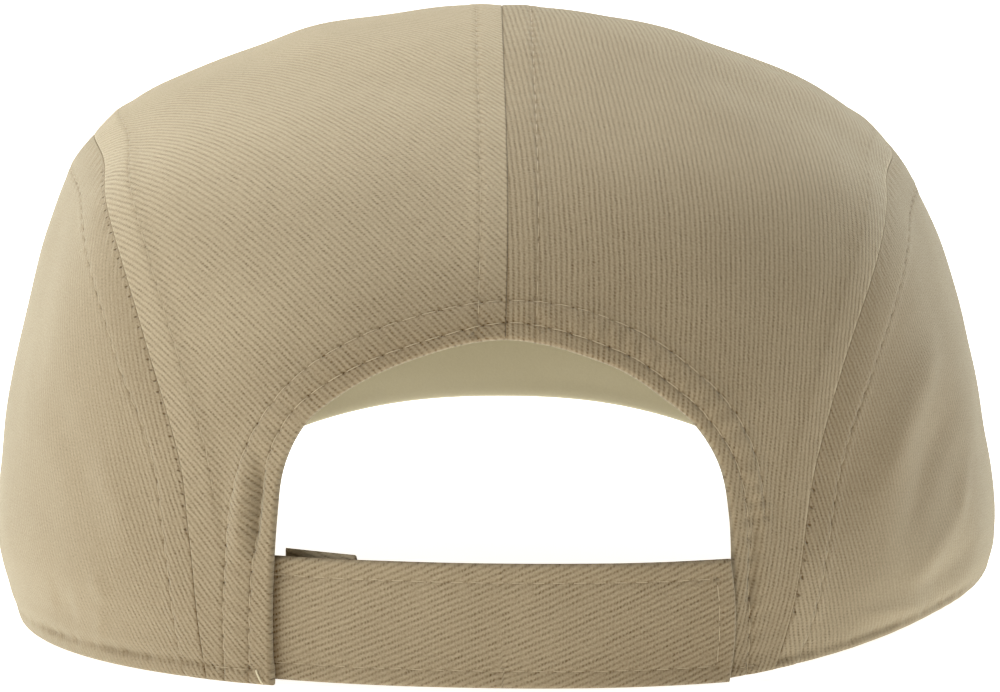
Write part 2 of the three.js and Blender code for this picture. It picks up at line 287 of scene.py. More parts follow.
def addNode(tree, kind, *inputs, **settings):
    # Inputs go to the sockets in turn, or by name in one dictionary, and a word before them is the operation.
    # A node given as an input is linked from its first output.
    made = tree.nodes.new("ShaderNode" + kind)
    if inputs and isinstance(inputs[0], str):
        made.operation, *inputs = inputs
    for name, value in settings.items():
        setattr(made, name, value)
    named = inputs[0] if inputs and isinstance(inputs[0], dict) else dict(enumerate(inputs))
    for name, value in named.items():
        value = value.outputs[0] if isinstance(value, bpy.types.Node) else value
        if isinstance(value, bpy.types.NodeSocket):
            tree.links.new(value, made.inputs[name])
        else:
            made.inputs[name].default_value = value
    return made


def linear(hexColour):   # sRGB hex to the linear colour that sockets take
    parts = [int(hexColour[i:i + 2], 16) / 255 for i in (0, 2, 4)]
    return [c / 12.92 if c <= 0.04045 else ((c + 0.055) / 1.055) ** 2.4 for c in parts] + [1]


def makePiece(name, node, points, faces, material, tone, cloth=None, sewn=None):
    # cloth is the place in the flat cloth in mm; sewn is stitches along, mm off the nearest row and its mark
    mesh = bpy.data.meshes.new(name)
    mesh.from_pydata(toFrame(points).tolist(), [], faces)
    mesh.polygons.foreach_set("use_smooth", np.ones(len(mesh.polygons), bool))
    layers = {"tone": tone}
    if cloth is not None:
        corner = np.zeros(len(mesh.loops), np.int32)
        mesh.loops.foreach_get("vertex_index", corner)
        for layerName, values in (("cloth", cloth), ("sewing", sewn)):
            uv = values[corner, :2].astype(np.float32)
            mesh.uv_layers.new(name=layerName).data.foreach_set("uv", uv.ravel())
        layers["sewn"] = sewn[:, 2]
    for layerName, values in layers.items():
        layer = mesh.attributes.new(layerName, "FLOAT", "POINT")
        layer.data.foreach_set("value", np.asarray(values, np.float32))
    mesh.materials.append(material)
    mesh.update()
    piece = addObject(name, mesh)
    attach(piece, "root")
    if node:
        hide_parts(node)


def spaced(length, coarse, fine, zone):   # steps from 0 to 1, closest at both edges where the cloth rolls
    places = [0.0]
    while places[-1] < length / 2:
        x = places[-1]
        places.append(x + (0.13 + 0.3 * x if x < 1.1 else fine if x < zone else coarse))
    half = np.array(places) / places[-1] / 2
    return np.r_[half, 1 - half[-2::-1]]


def shellFaces(rows, columns):
    # an outer grid, an inner grid of every second row and column, and the rim between them
    inRows, inColumns = (rows + 1) // 2, (columns + 1) // 2
    outer = np.arange(rows * columns).reshape(rows, columns)
    inner = rows * columns + np.arange(inRows * inColumns).reshape(inRows, inColumns)
    quads = np.stack([outer[:-1, :-1], outer[:-1, 1:], outer[1:, 1:], outer[1:, :-1]], -1).reshape(-1, 4)
    under = np.stack([inner[:-1, :-1], inner[1:, :-1], inner[1:, 1:], inner[:-1, 1:]], -1).reshape(-1, 4)
    rim = []
    loops = [
        (outer[:, 0], inner[:, 0]), (outer[-1], inner[-1]),
        (outer[::-1, -1], inner[::-1, -1]), (outer[0, ::-1], inner[0, ::-1]),
    ]
    for big, small in loops:
        for k in range(len(small) - 1):
            a, b, c = big[2 * k:2 * k + 3]
            rim += [(a, b, small[k]), (b, c, small[k + 1]), (b, small[k + 1], small[k])]
    return quads.tolist() + under.tolist() + [tuple(int(i) for i in face) for face in rim]


def outwardFaces(points, faces):   # turns every face over if the mesh is inside out
    volume = 0
    for pick in ((0, 1, 2), (0, 2, 3)):   # the second triangle is that of the quads alone
        a, b, c = points[[[face[i] for i in pick] for face in faces if len(face) > pick[2]]].swapaxes(0, 1)
        volume += (a * np.cross(b, c)).sum()
    return faces if volume > 0 else [tuple(reversed(face)) for face in faces]


def softNoise(points, size, seed):   # smooth folds about that many mm across, from -1 to 1
    random = np.random.default_rng(seed)
    total = np.zeros(points.shape[:-1])
    for _ in range(9):
        way = unit(random.normal(size=3))
        total += np.sin(points @ way * 2 * np.pi / (size * random.uniform(0.7, 1.6)) + random.uniform(0, 6.28))
    return total / 4.5


def flatten(points, guess, used, rounds=900):   # lays a curved grid flat, as the cloth was cut, keeping its lengths
    flat = guess.copy()
    rows, columns = slice(None, -1), slice(1, None)
    every = slice(None)
    links = [
        ((every, rows), (every, columns)), ((rows, every), (columns, every)),
        ((rows, rows), (columns, columns)), ((rows, columns), (columns, rows)),
    ]
    sizes = [np.linalg.norm(points[b] - points[a], axis=-1) for a, b in links]
    for _ in range(rounds):
        push, count = np.zeros_like(flat), np.full(flat.shape[:2], 1e-9)
        for (a, b), size in zip(links, sizes):
            both = used[a] * used[b]
            gap = flat[b] - flat[a]
            far = np.maximum(np.linalg.norm(gap, axis=-1), 1e-6)
            move = gap * (both * (far - size) / (2 * far))[..., None]
            push[a] += move
            push[b] -= move
            count[a] += both
            count[b] += both
        flat += 1.3 * push / count[..., None]
    return flat


def layFlat(points, order, guess, step=0.06):
    # The places of a panel's points in its flat cloth, from a grid of directions out of the crown's heart.
    # order lists the axes, last the one that the grid turns round.
    ray = (points - heart)[:, order]
    places = np.stack([np.arctan2(ray[:, 0], ray[:, 1]), np.arctan2(ray[:, 2], np.hypot(ray[:, 0], ray[:, 1]))], -1)
    first = places.min(0) - step / 2
    cell = (places - first) / step
    size = cell.max(0).astype(int) + 2
    turn, rise = np.meshgrid(*(first[i] + step * np.arange(size[i]) for i in range(2)), indexing="ij")
    ways = np.empty((*size, 3))
    ways[..., order] = np.stack([np.cos(rise) * np.sin(turn), np.cos(rise) * np.cos(turn), np.sin(rise)], -1)
    grid = leaves(heart, ways)
    low = cell.astype(int)
    corners = [(low[:, 0] + i, low[:, 1] + j) for i in (0, 1) for j in (0, 1)]
    used = np.zeros(size)
    for corner in corners:
        used[corner] = 1
    flat = flatten(grid, guess(grid), used)
    part = cell - low
    shares = [x * y for x in (1 - part[:, 0], part[:, 0]) for y in (1 - part[:, 1], part[:, 1])]
    return sum(flat[corner] * share[:, None] for corner, share in zip(corners, shares))


def walesAcross(flat, angle):   # turns flat mm so that x runs across the wales and y along them
    turn = math.radians(angle)
    x, y = flat[..., 0], flat[..., 1]
    return np.stack([x * math.sin(turn) - y * math.cos(turn), x * math.cos(turn) + y * math.sin(turn)], -1)


sewing = {
    "pitch": 3.7,          # mm from one stitch to the next
    "reach": 0.48,         # share of that from a stitch's middle to its hole
    "threadRadius": 0.095,
    "sunk": 0.04,          # how deep the thread lies in a panel
    "fold": 0.75,          # radius of the cloth where it turns into a seam
    "thickness": 1.5,
    "allowance": 0.34,     # lift of the cloth over the seam allowance under it
    "furrow": 0.26,        # depth of a row of stitches
    "hole": 0.23,          # reach of the dimple where the needle went in
    "trough": 0.34,        # and of the shade beside the thread
}

shaderSockets = {
    "roughness": "Roughness", "specular": "Specular IOR Level", "sheen": "Sheen Weight", "sheenTint": "Sheen Tint",
    "colour": "Base Color", "glowColour": "Emission Color", "glow": "Emission Strength",
}


def startMaterial(name, looks):
    material = bpy.data.materials.new(name)
    material.use_nodes = True
    shader = material.node_tree.nodes["Principled BSDF"]
    for key, socket in shaderSockets.items():
        if key in looks:
            value = looks[key]
            shader.inputs[socket].default_value = linear(value) if isinstance(value, str) else value
    return material, shader, functools.partial(addNode, material.node_tree)


def finishMaterial(shader, add, looks, shade, height, depth):   # colours from a shade of 0 to 1, and a depth in mm
    ramp = add("ValToRGB", {"Fac": shade})
    colours = ramp.color_ramp.elements
    colours[0].color, colours[1].color = linear(looks["dark"]), linear(looks["pale"])
    if "base" in looks:
        colours.new(0.5).color = linear(looks["base"])
    bump = add("Bump", {"Height": height, "Strength": 1.0, "Distance": depth / 1000})
    links = shader.id_data.links
    links.new(ramp.outputs["Color"], shader.inputs["Base Color"])
    links.new(bump.outputs["Normal"], shader.inputs["Normal"])


def twillMaterial(name, looks):
    # Cotton twill, woven and then washed: soft matte ribs on the slant, with painted shade in the grooves between
    # them and in a chain of small gaps between the yarns beside each rib, and a faint fuzz that pales it at a grazing
    # view
    material, shader, add = startMaterial(name, looks)
    cloth = add("UVMap", uv_map="cloth")

    noise = {}   # uneven yarns and dye, each by its size in mm
    for kind, size, detail in (
        ("drift", 11, 2.0), ("jitter", 1.7, 1.0), ("ragged", 1.1, 1.0), ("broken", 2.4, 2.0),
        ("fibre", 0.42, 3.0), ("slub", 2.6, 2.0), ("patch", 28, 3.0),
    ):
        grain = add("TexNoise", {"Vector": cloth, "Scale": 1 / size, "Detail": detail, "Roughness": 0.6},
                    noise_dimensions="2D")
        noise[kind] = add("Math", "SUBTRACT", grain, 0.5)

    def wave(place, pitch, sharpness):   # crests every pitch mm, narrower the sharper they are
        turns = add("Math", "MULTIPLY", place, 2 * math.pi / pitch)
        swing = add("Math", "COSINE", turns)
        share = add("Math", "MULTIPLY_ADD", swing, 0.5, 0.5)
        return add("Math", "POWER", share, sharpness)

    split = add("SeparateXYZ", cloth).outputs
    drift = add("Math", "MULTIPLY", noise["drift"], looks["wander"])
    jitter = add("Math", "MULTIPLY_ADD", noise["jitter"], looks["jitter"], drift)
    across = add("Math", "ADD", split["X"], jitter)
    worn = add("Math", "MULTIPLY_ADD", noise["slub"], looks["worn"], 1.0)
    if "flattened" in looks:   # handled and pressed, so the ribs lie flatter the further forward they are
        start, end, least = looks["flattened"]
        forward = add("SeparateXYZ", add("TexCoord").outputs["Object"]).outputs["Y"]
        pressed = add("MapRange", forward, start / 1000, end / 1000, 1.0, least, interpolation_type="SMOOTHSTEP")
        worn = add("Math", "MULTIPLY", worn, pressed)
    groove = add("Math", "MULTIPLY", wave(across, looks["walePitch"], 1.7), worn)
    slant = add("Math", "MULTIPLY_ADD", across, looks["yarnSlant"], split["Y"])
    ragged = add("Math", "MULTIPLY_ADD", noise["ragged"], 0.7, slant)
    yarn = wave(ragged, looks["yarnPitch"], 1.6)
    broken = add("Math", "MULTIPLY_ADD", noise["broken"], 2.6, 1.0)
    gapped = add("Math", "MULTIPLY", groove, yarn)
    gaps = add("Math", "MULTIPLY", gapped, broken)

    # where the needle went in, at every whole number along a row of stitches, darkened with painted shade; marks over
    # 1.5 are bare slits
    row = add("SeparateXYZ", add("UVMap", uv_map="sewing")).outputs
    shifted = add("Math", "ADD", row["X"], 0.5)
    part = add("Math", "FRACT", shifted)
    beside = add("Math", "MULTIPLY_ADD", part, sewing["pitch"], -sewing["pitch"] / 2)
    spot = add("CombineXYZ", beside, row["Y"])
    near = add("VectorMath", "LENGTH", spot).outputs["Value"]
    there = add("Attribute", attribute_name="sewn").outputs["Fac"]
    threaded = add("Math", "LESS_THAN", there, 1.5)
    closer = add("Math", "MULTIPLY_ADD", threaded, 0.5, 0.5)
    off = add("Math", "MULTIPLY", near, closer)
    pit = add("MapRange", off, 0.05, sewing["hole"], 1.0, 0.0, interpolation_type="SMOOTHSTEP")
    firm = add("Math", "MINIMUM", there, 1.0)
    hole = add("Math", "MULTIPLY", pit, firm)
    # the thread lies in a thin furrow, with painted shade on both sides of it
    aside = add("Math", "ABSOLUTE", row["Y"])
    trough = add("MapRange", aside, 0.1, sewing["trough"], 1.0, 0.0, interpolation_type="SMOOTHSTEP")
    laid = add("Math", "MULTIPLY", trough, threaded)
    furrow = add("Math", "MULTIPLY", laid, firm)

    height = 1.0
    for source, amount in (
        (groove, -0.5), (gaps, -0.5), (noise["fibre"], looks["fuzz"]), (hole, -2.2), (furrow, -0.9),
    ):
        height = add("Math", "MULTIPLY_ADD", source, amount, height)
    tone = add("Attribute", attribute_name="tone").outputs["Fac"]
    middle = 0.5 + looks["paintedGrooveShade"] * 0.3 + looks["paintedGapShade"] * 0.13
    shade = add("Math", "ADD", tone, middle)
    # grooves, gaps, holes and furrows darken the colour: painted shade in the cloth's recesses
    for source, amount in (
        (groove, -looks["paintedGrooveShade"]), (gaps, -looks["paintedGapShade"]), (hole, -looks["paintedHoleShade"]),
        (furrow, -looks["paintedFurrowShade"]), (noise["fibre"], looks["fibreTone"]), (noise["slub"], looks["slubTone"]),
        (noise["patch"], looks["patchTone"]),
    ):
        shade = add("Math", "MULTIPLY_ADD", source, amount, shade)
    finishMaterial(shader, add, looks, shade, height, looks["ribHeight"])
    return material


washedLooks = {
    "base": "96876c", "dark": "563c14", "pale": "c9ba9c", "sheenTint": "e5e7d6",
    "roughness": 0.92, "specular": 0.2, "sheen": 0.38,
    "walePitch": 1.0,      # mm, 25 ribs to the inch
    "worn": 1.5,           # how unevenly the grooves between them have filled with washing
    "yarnPitch": 0.64,     # mm between the gaps along a rib
    "yarnSlant": 0.45, "wander": 0.5, "jitter": 0.2, "ribHeight": 0.085, "fuzz": 1.3,
    "paintedGrooveShade": 0.125, "paintedGapShade": 0.17, "paintedHoleShade": 0.34, "paintedFurrowShade": 0.08,
    "fibreTone": 0.33, "slubTone": 0.1, "patchTone": 0.1,
}
twill = twillMaterial("washedCottonTwill", washedLooks)
# from, to and down to: mm forward in the frame, and the share of the ribs' depth that is left there
sideTwill = twillMaterial("pressedCottonTwill", {**washedLooks, "flattened": (-115, -98, 0.45)})


def plainMaterial(name, looks):
    # Plain-woven cotton, tape or thread: fine square threads, too small to show but as a faint grain
    material, shader, add = startMaterial(name, looks)
    place = add("TexCoord").outputs["Object"]
    grain, fade = (
        add("TexNoise", {"Vector": place, "Scale": 1000 / size, "Detail": 3.0, "Roughness": rough})
        for size, rough in ((looks["grain"], 0.6), (30, 0.5)))
    tone = add("Attribute", attribute_name="tone").outputs["Fac"]
    mixed = add("Math", "MULTIPLY_ADD", grain, looks["mottle"], 0.3 - looks["mottle"] / 2)
    spread = add("Math", "MULTIPLY_ADD", fade, 0.4, mixed)
    shade = add("Math", "ADD", spread, tone, use_clamp=True)
    finishMaterial(shader, add, looks, shade, grain, looks["relief"])
    return material


bandCotton = plainMaterial("plainWovenCotton", {
    "dark": "c0b795", "pale": "ddd7bb", "roughness": 0.85, "specular": 0.25, "sheen": 0.2,
    "grain": 0.5, "relief": 0.04, "mottle": 0.3})
loopTape = plainMaterial("hookAndLoopTape", {
    "dark": "453c2b", "pale": "857a5e", "roughness": 0.95, "specular": 0.2, "sheen": 0.4,
    "grain": 0.6, "relief": 0.25, "mottle": 0.6})
spunLooks = {"roughness": 0.6, "specular": 0.4, "sheen": 0.2, "grain": 0.25, "relief": 0.04, "mottle": 0.5}
thread = plainMaterial("spunPolyesterThread", {"dark": "9a8b6e", "pale": "b9aa8b", **spunLooks})
tackThread = plainMaterial("thickSpunThread", {"dark": "c0b491", "pale": "e8dec0", **spunLooks})
print("materials made")


# Sewing

def nearestRow(rows):   # of rows as mm off, stitches along and how strongly they mark, the row each point lies by
    off, turns, present = (np.array([row[i] for row in rows]) for i in range(3))
    pick = (np.abs(off) + 9 * (present < 0.05)).argmin(0)
    every = np.arange(len(pick))
    off, turns, present = off[pick, every], turns[pick, every], present[pick, every]
    return np.stack([turns, np.clip(off, -3, 3), present * (1 - smooth(1.0, 1.6, np.abs(off)))], -1)


def rowDistance(edge, k, along):
    row = edge["rows"][k]
    return np.interp(along / edge["line"]["length"], row["shares"], row["mm"])


# Soft creases of the worn cloth: height and half width in mm, then the places that each runs through
creases = [
    (0.95, 4.6, [(78.8, -42.9, 59.3), (76.9, -51.5, 52.8), (72, -62.3, 43.4), (67.1, -69.2, 34.6), (63.4, -73, 28)]),
    (-0.5, 3.6, [(82.2, -39.8, 46.8), (76.4, -55.8, 36.2), (71.6, -63.4, 25.7), (68, -67.2, 19.1)]),
    (0.6, 3.0, [(84.5, -36.5, 36.3), (81.6, -46.5, 24.9), (75.6, -57, 18.4), (68.9, -65.1, 13.7)]),
    (-0.5, 3.0, [(86, -35.6, 19.7), (79.7, -49.4, 14.8), (71.8, -61.1, 12.7)]),
    (0.3, 1.6, [(60, -73.3, 10.5), (67.1, -66, 10.5), (75.8, -53.9, 10.2)]),
    (-0.5, 5.0, [(-82, -48, 49.7), (-78.5, -56.5, 43.5), (-74, -63.7, 36.1), (-69.7, -68.2, 22.8)]),
    (0.35, 3.4, [(-72, -66.4, 38.6), (-66.4, -72.5, 30.6), (-64.7, -73.1, 20)]),
    (0.4, 2.2, [(-71.4, -65.4, 17.3), (-67.5, -68.6, 12.5)]),
    (0.3, 1.6, [(-69, -66.7, 11.8), (-69.8, -63.1, 4.7)]),
    (-0.35, 3.4, [(-79.4, -52.1, 11.3), (-73.9, -59.9, 9.8)]),
    (0.85, 1.7, [(-43.7, -89.3, 43.5), (-44.6, -88.8, 36.5), (-45.1, -88.3, 29.3), (-45.5, -87.5, 21.3)]),
    (-1.5, 1.0, [(-41.2, -90.3, 42.6), (-41.9, -90.1, 35.6), (-42.5, -89.8, 29.4), (-43, -89.3, 22.3)]),
    (-0.85, 0.9, [(42.2, -89.2, 37.4), (43.1, -88.4, 32), (43.4, -88, 27.6), (42.8, -87.6, 19), (41.5, -86.6, 9.7)]),
    (0.35, 1.7, [(45.9, -86.9, 33.8), (46.4, -86.2, 26.4), (45.8, -85.9, 20.2), (44.7, -85.6, 13.1)]),
    (-0.5, 4.0, [(73.4, -2, 86.5), (66.5, -46, 85.2)]),
]


def creased(points):
    total = np.zeros(len(points))
    for height, width, places in creases:
        line = evenly(measured(np.array(places)), steps=50)
        away, along = nearest(points, line)
        length, fade = line["length"], 0.35 * line["length"]
        ends = smooth(-0.1 * fade, fade, along) * (1 - smooth(length - fade, length + 0.1 * fade, along))
        total += height * ends * bell(away, width)
    return total


def rolledIn(away, radius):   # how far a face draws back where the cloth turns in at its edge
    inside = np.clip(radius - away, 0, radius)
    return radius - np.sqrt(np.maximum(radius ** 2 - inside ** 2, 0))


def relief(points, edges):
    # How far the cloth stands out from the plain crown, the fold at its edges, its tone with painted shade in its
    # seams, furrows and creases, its thickness, and the row of stitches that it lies by
    none = np.zeros(len(points))
    lift, sink, roll, tone = np.zeros((4, len(points)))
    thickness = none + sewing["thickness"]
    rows = [(none + 9, none, none)]
    for edge in edges:
        away, along = nearest(points, edge["line"])
        share = along / edge["line"]["length"]
        wave = 2 * np.pi * along / sewing["pitch"]
        wobble = 1.3 * np.sin(along / 5.3 + edge["seed"]) + 0.9 * np.sin(along / 2.9)
        outer = rowDistance(edge, -1, along) if edge["rows"] else none + 6
        lift = np.maximum(lift, edge["lift"] * (1 - smooth(outer - 0.8, outer + 2.4, away)))
        for k, row in enumerate(edge["rows"]):
            off = away - rowDistance(edge, k, along)
            low, high = row["sewn"]
            present = smooth(low - 0.012, low, share) * (1 - smooth(high, high + 0.012, share))
            deep = present * row["deep"]
            turns = along / row["pitch"]
            sink += deep * sewing["furrow"] * bell(off, 0.5) * (0.7 + 0.3 * np.cos(2 * np.pi * turns))
            sink += deep * 0.05 * bell(off, 2.0) * np.cos(2 * np.pi * turns + wobble)
            # painted shade in the row's furrow
            tone -= deep * 0.05 * bell(off, 0.45)
            uneven = 1 if row["mark"] > 1.5 else 0.7 + 0.5 * np.sin(along / 4.7 + edge["seed"]) * np.sin(along / 1.9)
            rows.append((off * row["narrow"], turns + row["slant"] * off, present * row["mark"] * uneven))
        if edge["kind"] == "seam":
            sink += crown["seamDip"] * bell(away, 3.0) * smooth(30, 50, points[:, 2])
            slanted = np.cos(wave - edge["slant"] * away + wobble * 0.5)
            sink += edge["pucker"] * slanted * bell(away, 2.6) * smooth(0.2, 1.0, away)
            # painted shade in the seam's crease; values below 0 make it paler there instead
            tone -= np.interp(share, edge["darkAt"], edge["dark"]) * bell(away, edge["darkReach"])
        if edge["kind"] == "arch":
            # painted shade over the cloth above the arch
            tone -= edge["shade"] * bell(away, 12) * smooth(40, 60, points[:, 2])
            thickness += 0.7 * (1 - smooth(outer, outer + 2, away))
            # the doubled cloth puffs up between the rows and puckers with the stitches
            between = bell(away - (rowDistance(edge, 0, along) + outer) / 2, 1.5)
            pucker = np.interp(share, edge["puckerAt"], edge["pucker"])
            sink -= between * (0.16 + pucker * np.cos(2 * np.pi * along / 3.4 + 0.9 * wobble))
        if edge["kind"] == "hem":
            # the turned hem is a soft roll, and the cloth above it bulges over the crease
            thickness += 0.5 * (1 - smooth(3, 5, away))
            off = away - edge["crease"]
            worn = 0.65 + 0.25 * np.sin(along / 4.1 + edge["seed"]) + 0.3 * np.sin(along / 0.62) * np.sin(along / 2.3)
            deep = edge["creaseDepth"](points) * worn
            sink += deep * bell(off, np.where(off > 0, 1.3, 0.6))
            # painted shade in the hem's crease
            tone -= 0.16 * deep * bell(off + 0.15, 0.55)
            ribbed = np.cos(2 * np.pi * along / 1.15 + 1.2 * wobble)
            sink += 0.05 * ribbed * bell(away - edge["crease"] / 2, 1.2)
            tone += 0.03 * bell(away, 0.9)
        roll = np.maximum(roll, rolledIn(away, sewing["fold"] * edge["round"]))
    folds = 0.5 * softNoise(points, 46, 3) + 0.16 * softNoise(points, 19, 4)
    worn = creased(points) + folds * smooth(-5, 25, points[:, 2])
    return lift - sink + worn, roll, tone, thickness, nearestRow(rows)


capsule = {   # a stitch's rings, as shares of its half length and of its radius
    "along": np.array([-1, -0.93, -0.75, -0.4, 0, 0.4, 0.75, 0.93, 1.0]),
    "thin": np.array([0.05, 0.6, 0.9, 1, 1, 1, 0.9, 0.6, 0.05]), "sides": 6,
}


def stitchMesh(path, normals, turns, sunk, radius=sewing["threadRadius"]):
    # Small bent capsules from hole to hole, their ends drawn down into the cloth
    if turns[0] > turns[-1]:
        path, normals, turns = path[::-1], normals[::-1], turns[::-1]
    centre = np.arange(math.ceil(turns[0]), math.floor(turns[-1])) + 0.5
    u, sides, count, rings = capsule["along"], capsule["sides"], len(centre), len(capsule["along"])
    where = centre[:, None] + u * sewing["reach"]
    ways = unit(np.gradient(path, axis=0))
    place, up, way = (readOff(where, turns, values) for values in (path, normals, ways))
    up, way = unit(up), unit(way)
    side = unit(np.cross(way, up))
    drop = radius * (0.35 - 3.2 * np.abs(u) ** 8) - sunk
    swing = rng.uniform(-0.08, 0.08, count)[:, None] * u
    place = place + up * drop[None, :, None] + side * swing[..., None]
    turn = np.arange(sides) / sides * 2 * np.pi
    ring = side[:, :, None] * np.cos(turn)[:, None] + up[:, :, None] * np.sin(turn)[:, None] * 0.85
    points = (place[:, :, None] + ring * (radius * capsule["thin"])[None, :, None, None]).reshape(-1, 3)
    index = np.arange(count * rings * sides).reshape(count, rings, sides)
    after = np.roll(index, -1, axis=2)
    quads = np.stack([index[:, :-1], after[:, :-1], after[:, 1:], index[:, 1:]], -1).reshape(-1, 4)
    ends = np.concatenate([index[:, 0, ::-1], index[:, -1]], 0)
    return points, quads.tolist() + ends.tolist()


def addStitches(name, parts, material=thread):
    points, faces, base = [], [], 0
    for partPoints, partFaces in parts:
        points.append(partPoints)
        faces += [[i + base for i in face] for face in partFaces]
        base += len(partPoints)
    makePiece(name, None, np.vstack(points), faces, material, np.zeros(base))


def rowPath(edge, k, edges, middle):   # the line of one row of stitches, laid on the finished cloth
    line, row = edge["line"], edge["rows"][k]
    shares = line["along"] / line["length"]
    low, high = row["sewn"]
    keep = (shares >= low) & (shares <= high)
    places, ways = line["at"][keep], line["way"][keep]
    inward = np.cross(outward(places), ways)
    half = len(places) // 2
    inward = inward * np.sign(inward[half] @ (middle - places[half]))   # the panel's own side of its edge
    off = np.interp(shares[keep], row["shares"], row["mm"])
    laid = onCrown(places + inward * off[:, None])
    normals = outward(laid)
    height, *_ = relief(laid, edges)
    return laid + normals * height[:, None], normals, line["along"][keep] / row["pitch"]


def addShell(name, node, spec, outer, inner, cloth, tone, sewn, parts):
    # a piece from its outer face and every second point of its inner one, with its stitches
    spec = {"slot": "twill", "material": twill, "innerTone": -0.04, **spec}
    rows, columns = len(spec["along"]), len(spec["across"])

    def coarser(values):
        return values.reshape(rows, columns, -1)[::2, ::2].reshape(-1, values.shape[-1])

    points = np.vstack([outer, coarser(inner)])
    hidden = len(points) - len(outer)
    faces = outwardFaces(points, shellFaces(rows, columns))
    makePiece(name, node, points, faces, spec["material"],
              np.r_[tone, np.full(hidden, spec["innerTone"])],
              np.vstack([cloth, coarser(cloth)]), np.vstack([sewn, np.zeros((hidden, 3))]))
    if parts:
        addStitches(name + "Stitches", parts)
    print(name, "made")


panelShadeAndLean = {
    "paintedShadeHeights": (10, 32, 90),   # mm up, where a panel's painted light and shade changes with height
    "leanBelow": 48,               # mm, where the ribs start to lean over the hem
}


def sewnPanel(name, node, spec):
    spec = {"lean": 0, "stretch": 1, "fade": (0, 0, 0), **spec}
    near, far, first, last = (spec[key] for key in ("near", "far", "first", "last"))
    across, along, edges = spec["across"], spec["along"], spec["edges"]

    s, t = (shares[..., None] for shares in np.meshgrid(across, along))
    corners = [np.atleast_2d(c)[0] for c in (first(0.0), first(1.0), last(0.0), last(1.0))]
    grid = first(across)[None] * (1 - t) + last(across)[None] * t
    grid = grid + near(along)[:, None] * (1 - s) + far(along)[:, None] * s
    grid = grid - corners[0] * (1 - s) * (1 - t) - corners[1] * s * (1 - t)
    grid = onCrown(grid - corners[2] * (1 - s) * t - corners[3] * s * t)
    plain = grid.reshape(-1, 3)
    normals = outward(plain)
    height, roll, tone, thickness, sewn = relief(plain, edges)
    # painted light and shade: each panel's tone is set lighter or darker by height
    tone += np.interp(plain[:, 2], panelShadeAndLean["paintedShadeHeights"], spec["fade"])

    cut, start = plain.copy(), panelShadeAndLean["leanBelow"]   # low down the ribs lean, as the panel was eased on to the hem
    cut[:, 0] += spec["lean"] * np.maximum(start - plain[:, 2], 0) ** 2 / (2 * start)
    cloth = walesAcross(layFlat(cut, spec["order"], spec["guess"]) * spec["stretch"], spec["waleAngle"])

    middle = grid[len(along) // 2, len(across) // 2]
    parts = []
    for edge in edges:
        for k, row in enumerate(edge["rows"]):
            if row["stitched"]:
                parts.append(stitchMesh(*rowPath(edge, k, edges, middle), sewing["sunk"]))
    addShell(name, node, spec, plain + normals * (height - roll)[:, None],
             plain + normals * (height - thickness + roll)[:, None], cloth, tone, sewn, parts)


def row(mm, shares=(0, 1), **more):
    mm = [mm] * len(shares) if np.isscalar(mm) else mm
    return {"mm": mm, "shares": shares, "sewn": (0, 1), "pitch": sewing["pitch"], "deep": 1.0, "mark": 0.75,
            "stitched": True, "narrow": 1.0, "slant": 0.0, **more}


def seamEdge(line, rows, **more):
    # dark, with the shares and the reach after it, is painted shade along the seam's crease
    return {"kind": "seam", "line": line, "rows": rows, "lift": sewing["allowance"], "pucker": 0.05, "slant": 0.9,
            "seed": 1.0, "round": 0.5, "dark": (0.12, 0.12), "darkAt": (0, 1), "darkReach": 0.35, **more}


def hemEdge(line, **more):
    return {"kind": "hem", "line": line, "rows": [], "lift": 0.2, "seed": 2.0, "round": 1.2, "crease": 3.1,
            "creaseDepth": lambda points: np.full(len(points), 0.5), **more}


def byShare(line, start=0, end=1):
    return lambda share: at(line, start + (end - start) * share)


def joined(first, second, change):   # one line up to a share of the way, and then another
    def place(share):
        share = np.asarray(share, float)
        before = first(np.clip(share / change, 0, 1))
        return np.where((share < change)[..., None], before, second(np.clip((share - change) / (1 - change), 0, 1)))
    return place


def foot(line):
    return planAngle(line["at"][-1])


def hemBetween(start, end):
    return lambda share: panelHem(start + (end - start) * share)


# Short bare slits where the seam's own stitches pull, drawn as dark painted shade
slit = {"deep": 0.2, "mark": 2.0, "stitched": False, "narrow": 0.85}
sidePanel = {
    "overTop": 0.44,   # share of the shoulder seam that runs over the panel's top
    "row": row((6.5, 7.4, 8, 7.6, 6.2, 6, 5), (0, 0.44, 0.62, 0.70, 0.76, 0.84, 1)),
    # painted shade along the shoulder seam: the shares where its strength changes
    "darkAt": (0, 0.42, 0.5, 0.84, 0.94, 1),
    # fade in each cloth: painted light and shade, the tone at those heights
    "left": {
        "cloth": {"waleAngle": 115, "stretch": 1.02, "fade": (-0.05, -0.065, -0.06)},
        "slits": row(0.6, sewn=(0.46, 0.86), pitch=2.1, slant=0.14, **slit),
        "shoulder": {"lift": 0.27, "round": 0.3, "dark": (0.12, 0.12, 0.06, 0.1, 0.2, 0.24)},
        "crease": 3.1, "creaseDepth": 0.8,
    },
    "right": {
        "cloth": {"waleAngle": 108, "stretch": 1.08, "fade": (0.055, -0.13, -0.14)},
        "slits": row(0.6, sewn=(0.83, 0.94), pitch=3.1, slant=-0.1, **slit),
        "shoulder": {"lift": 0.36, "round": 0.14, "dark": (0.04, 0.02, 0.0, 0.02, 0.18, 0.28)},
        "crease": 1.9, "creaseDepth": 0.55,
    },
}


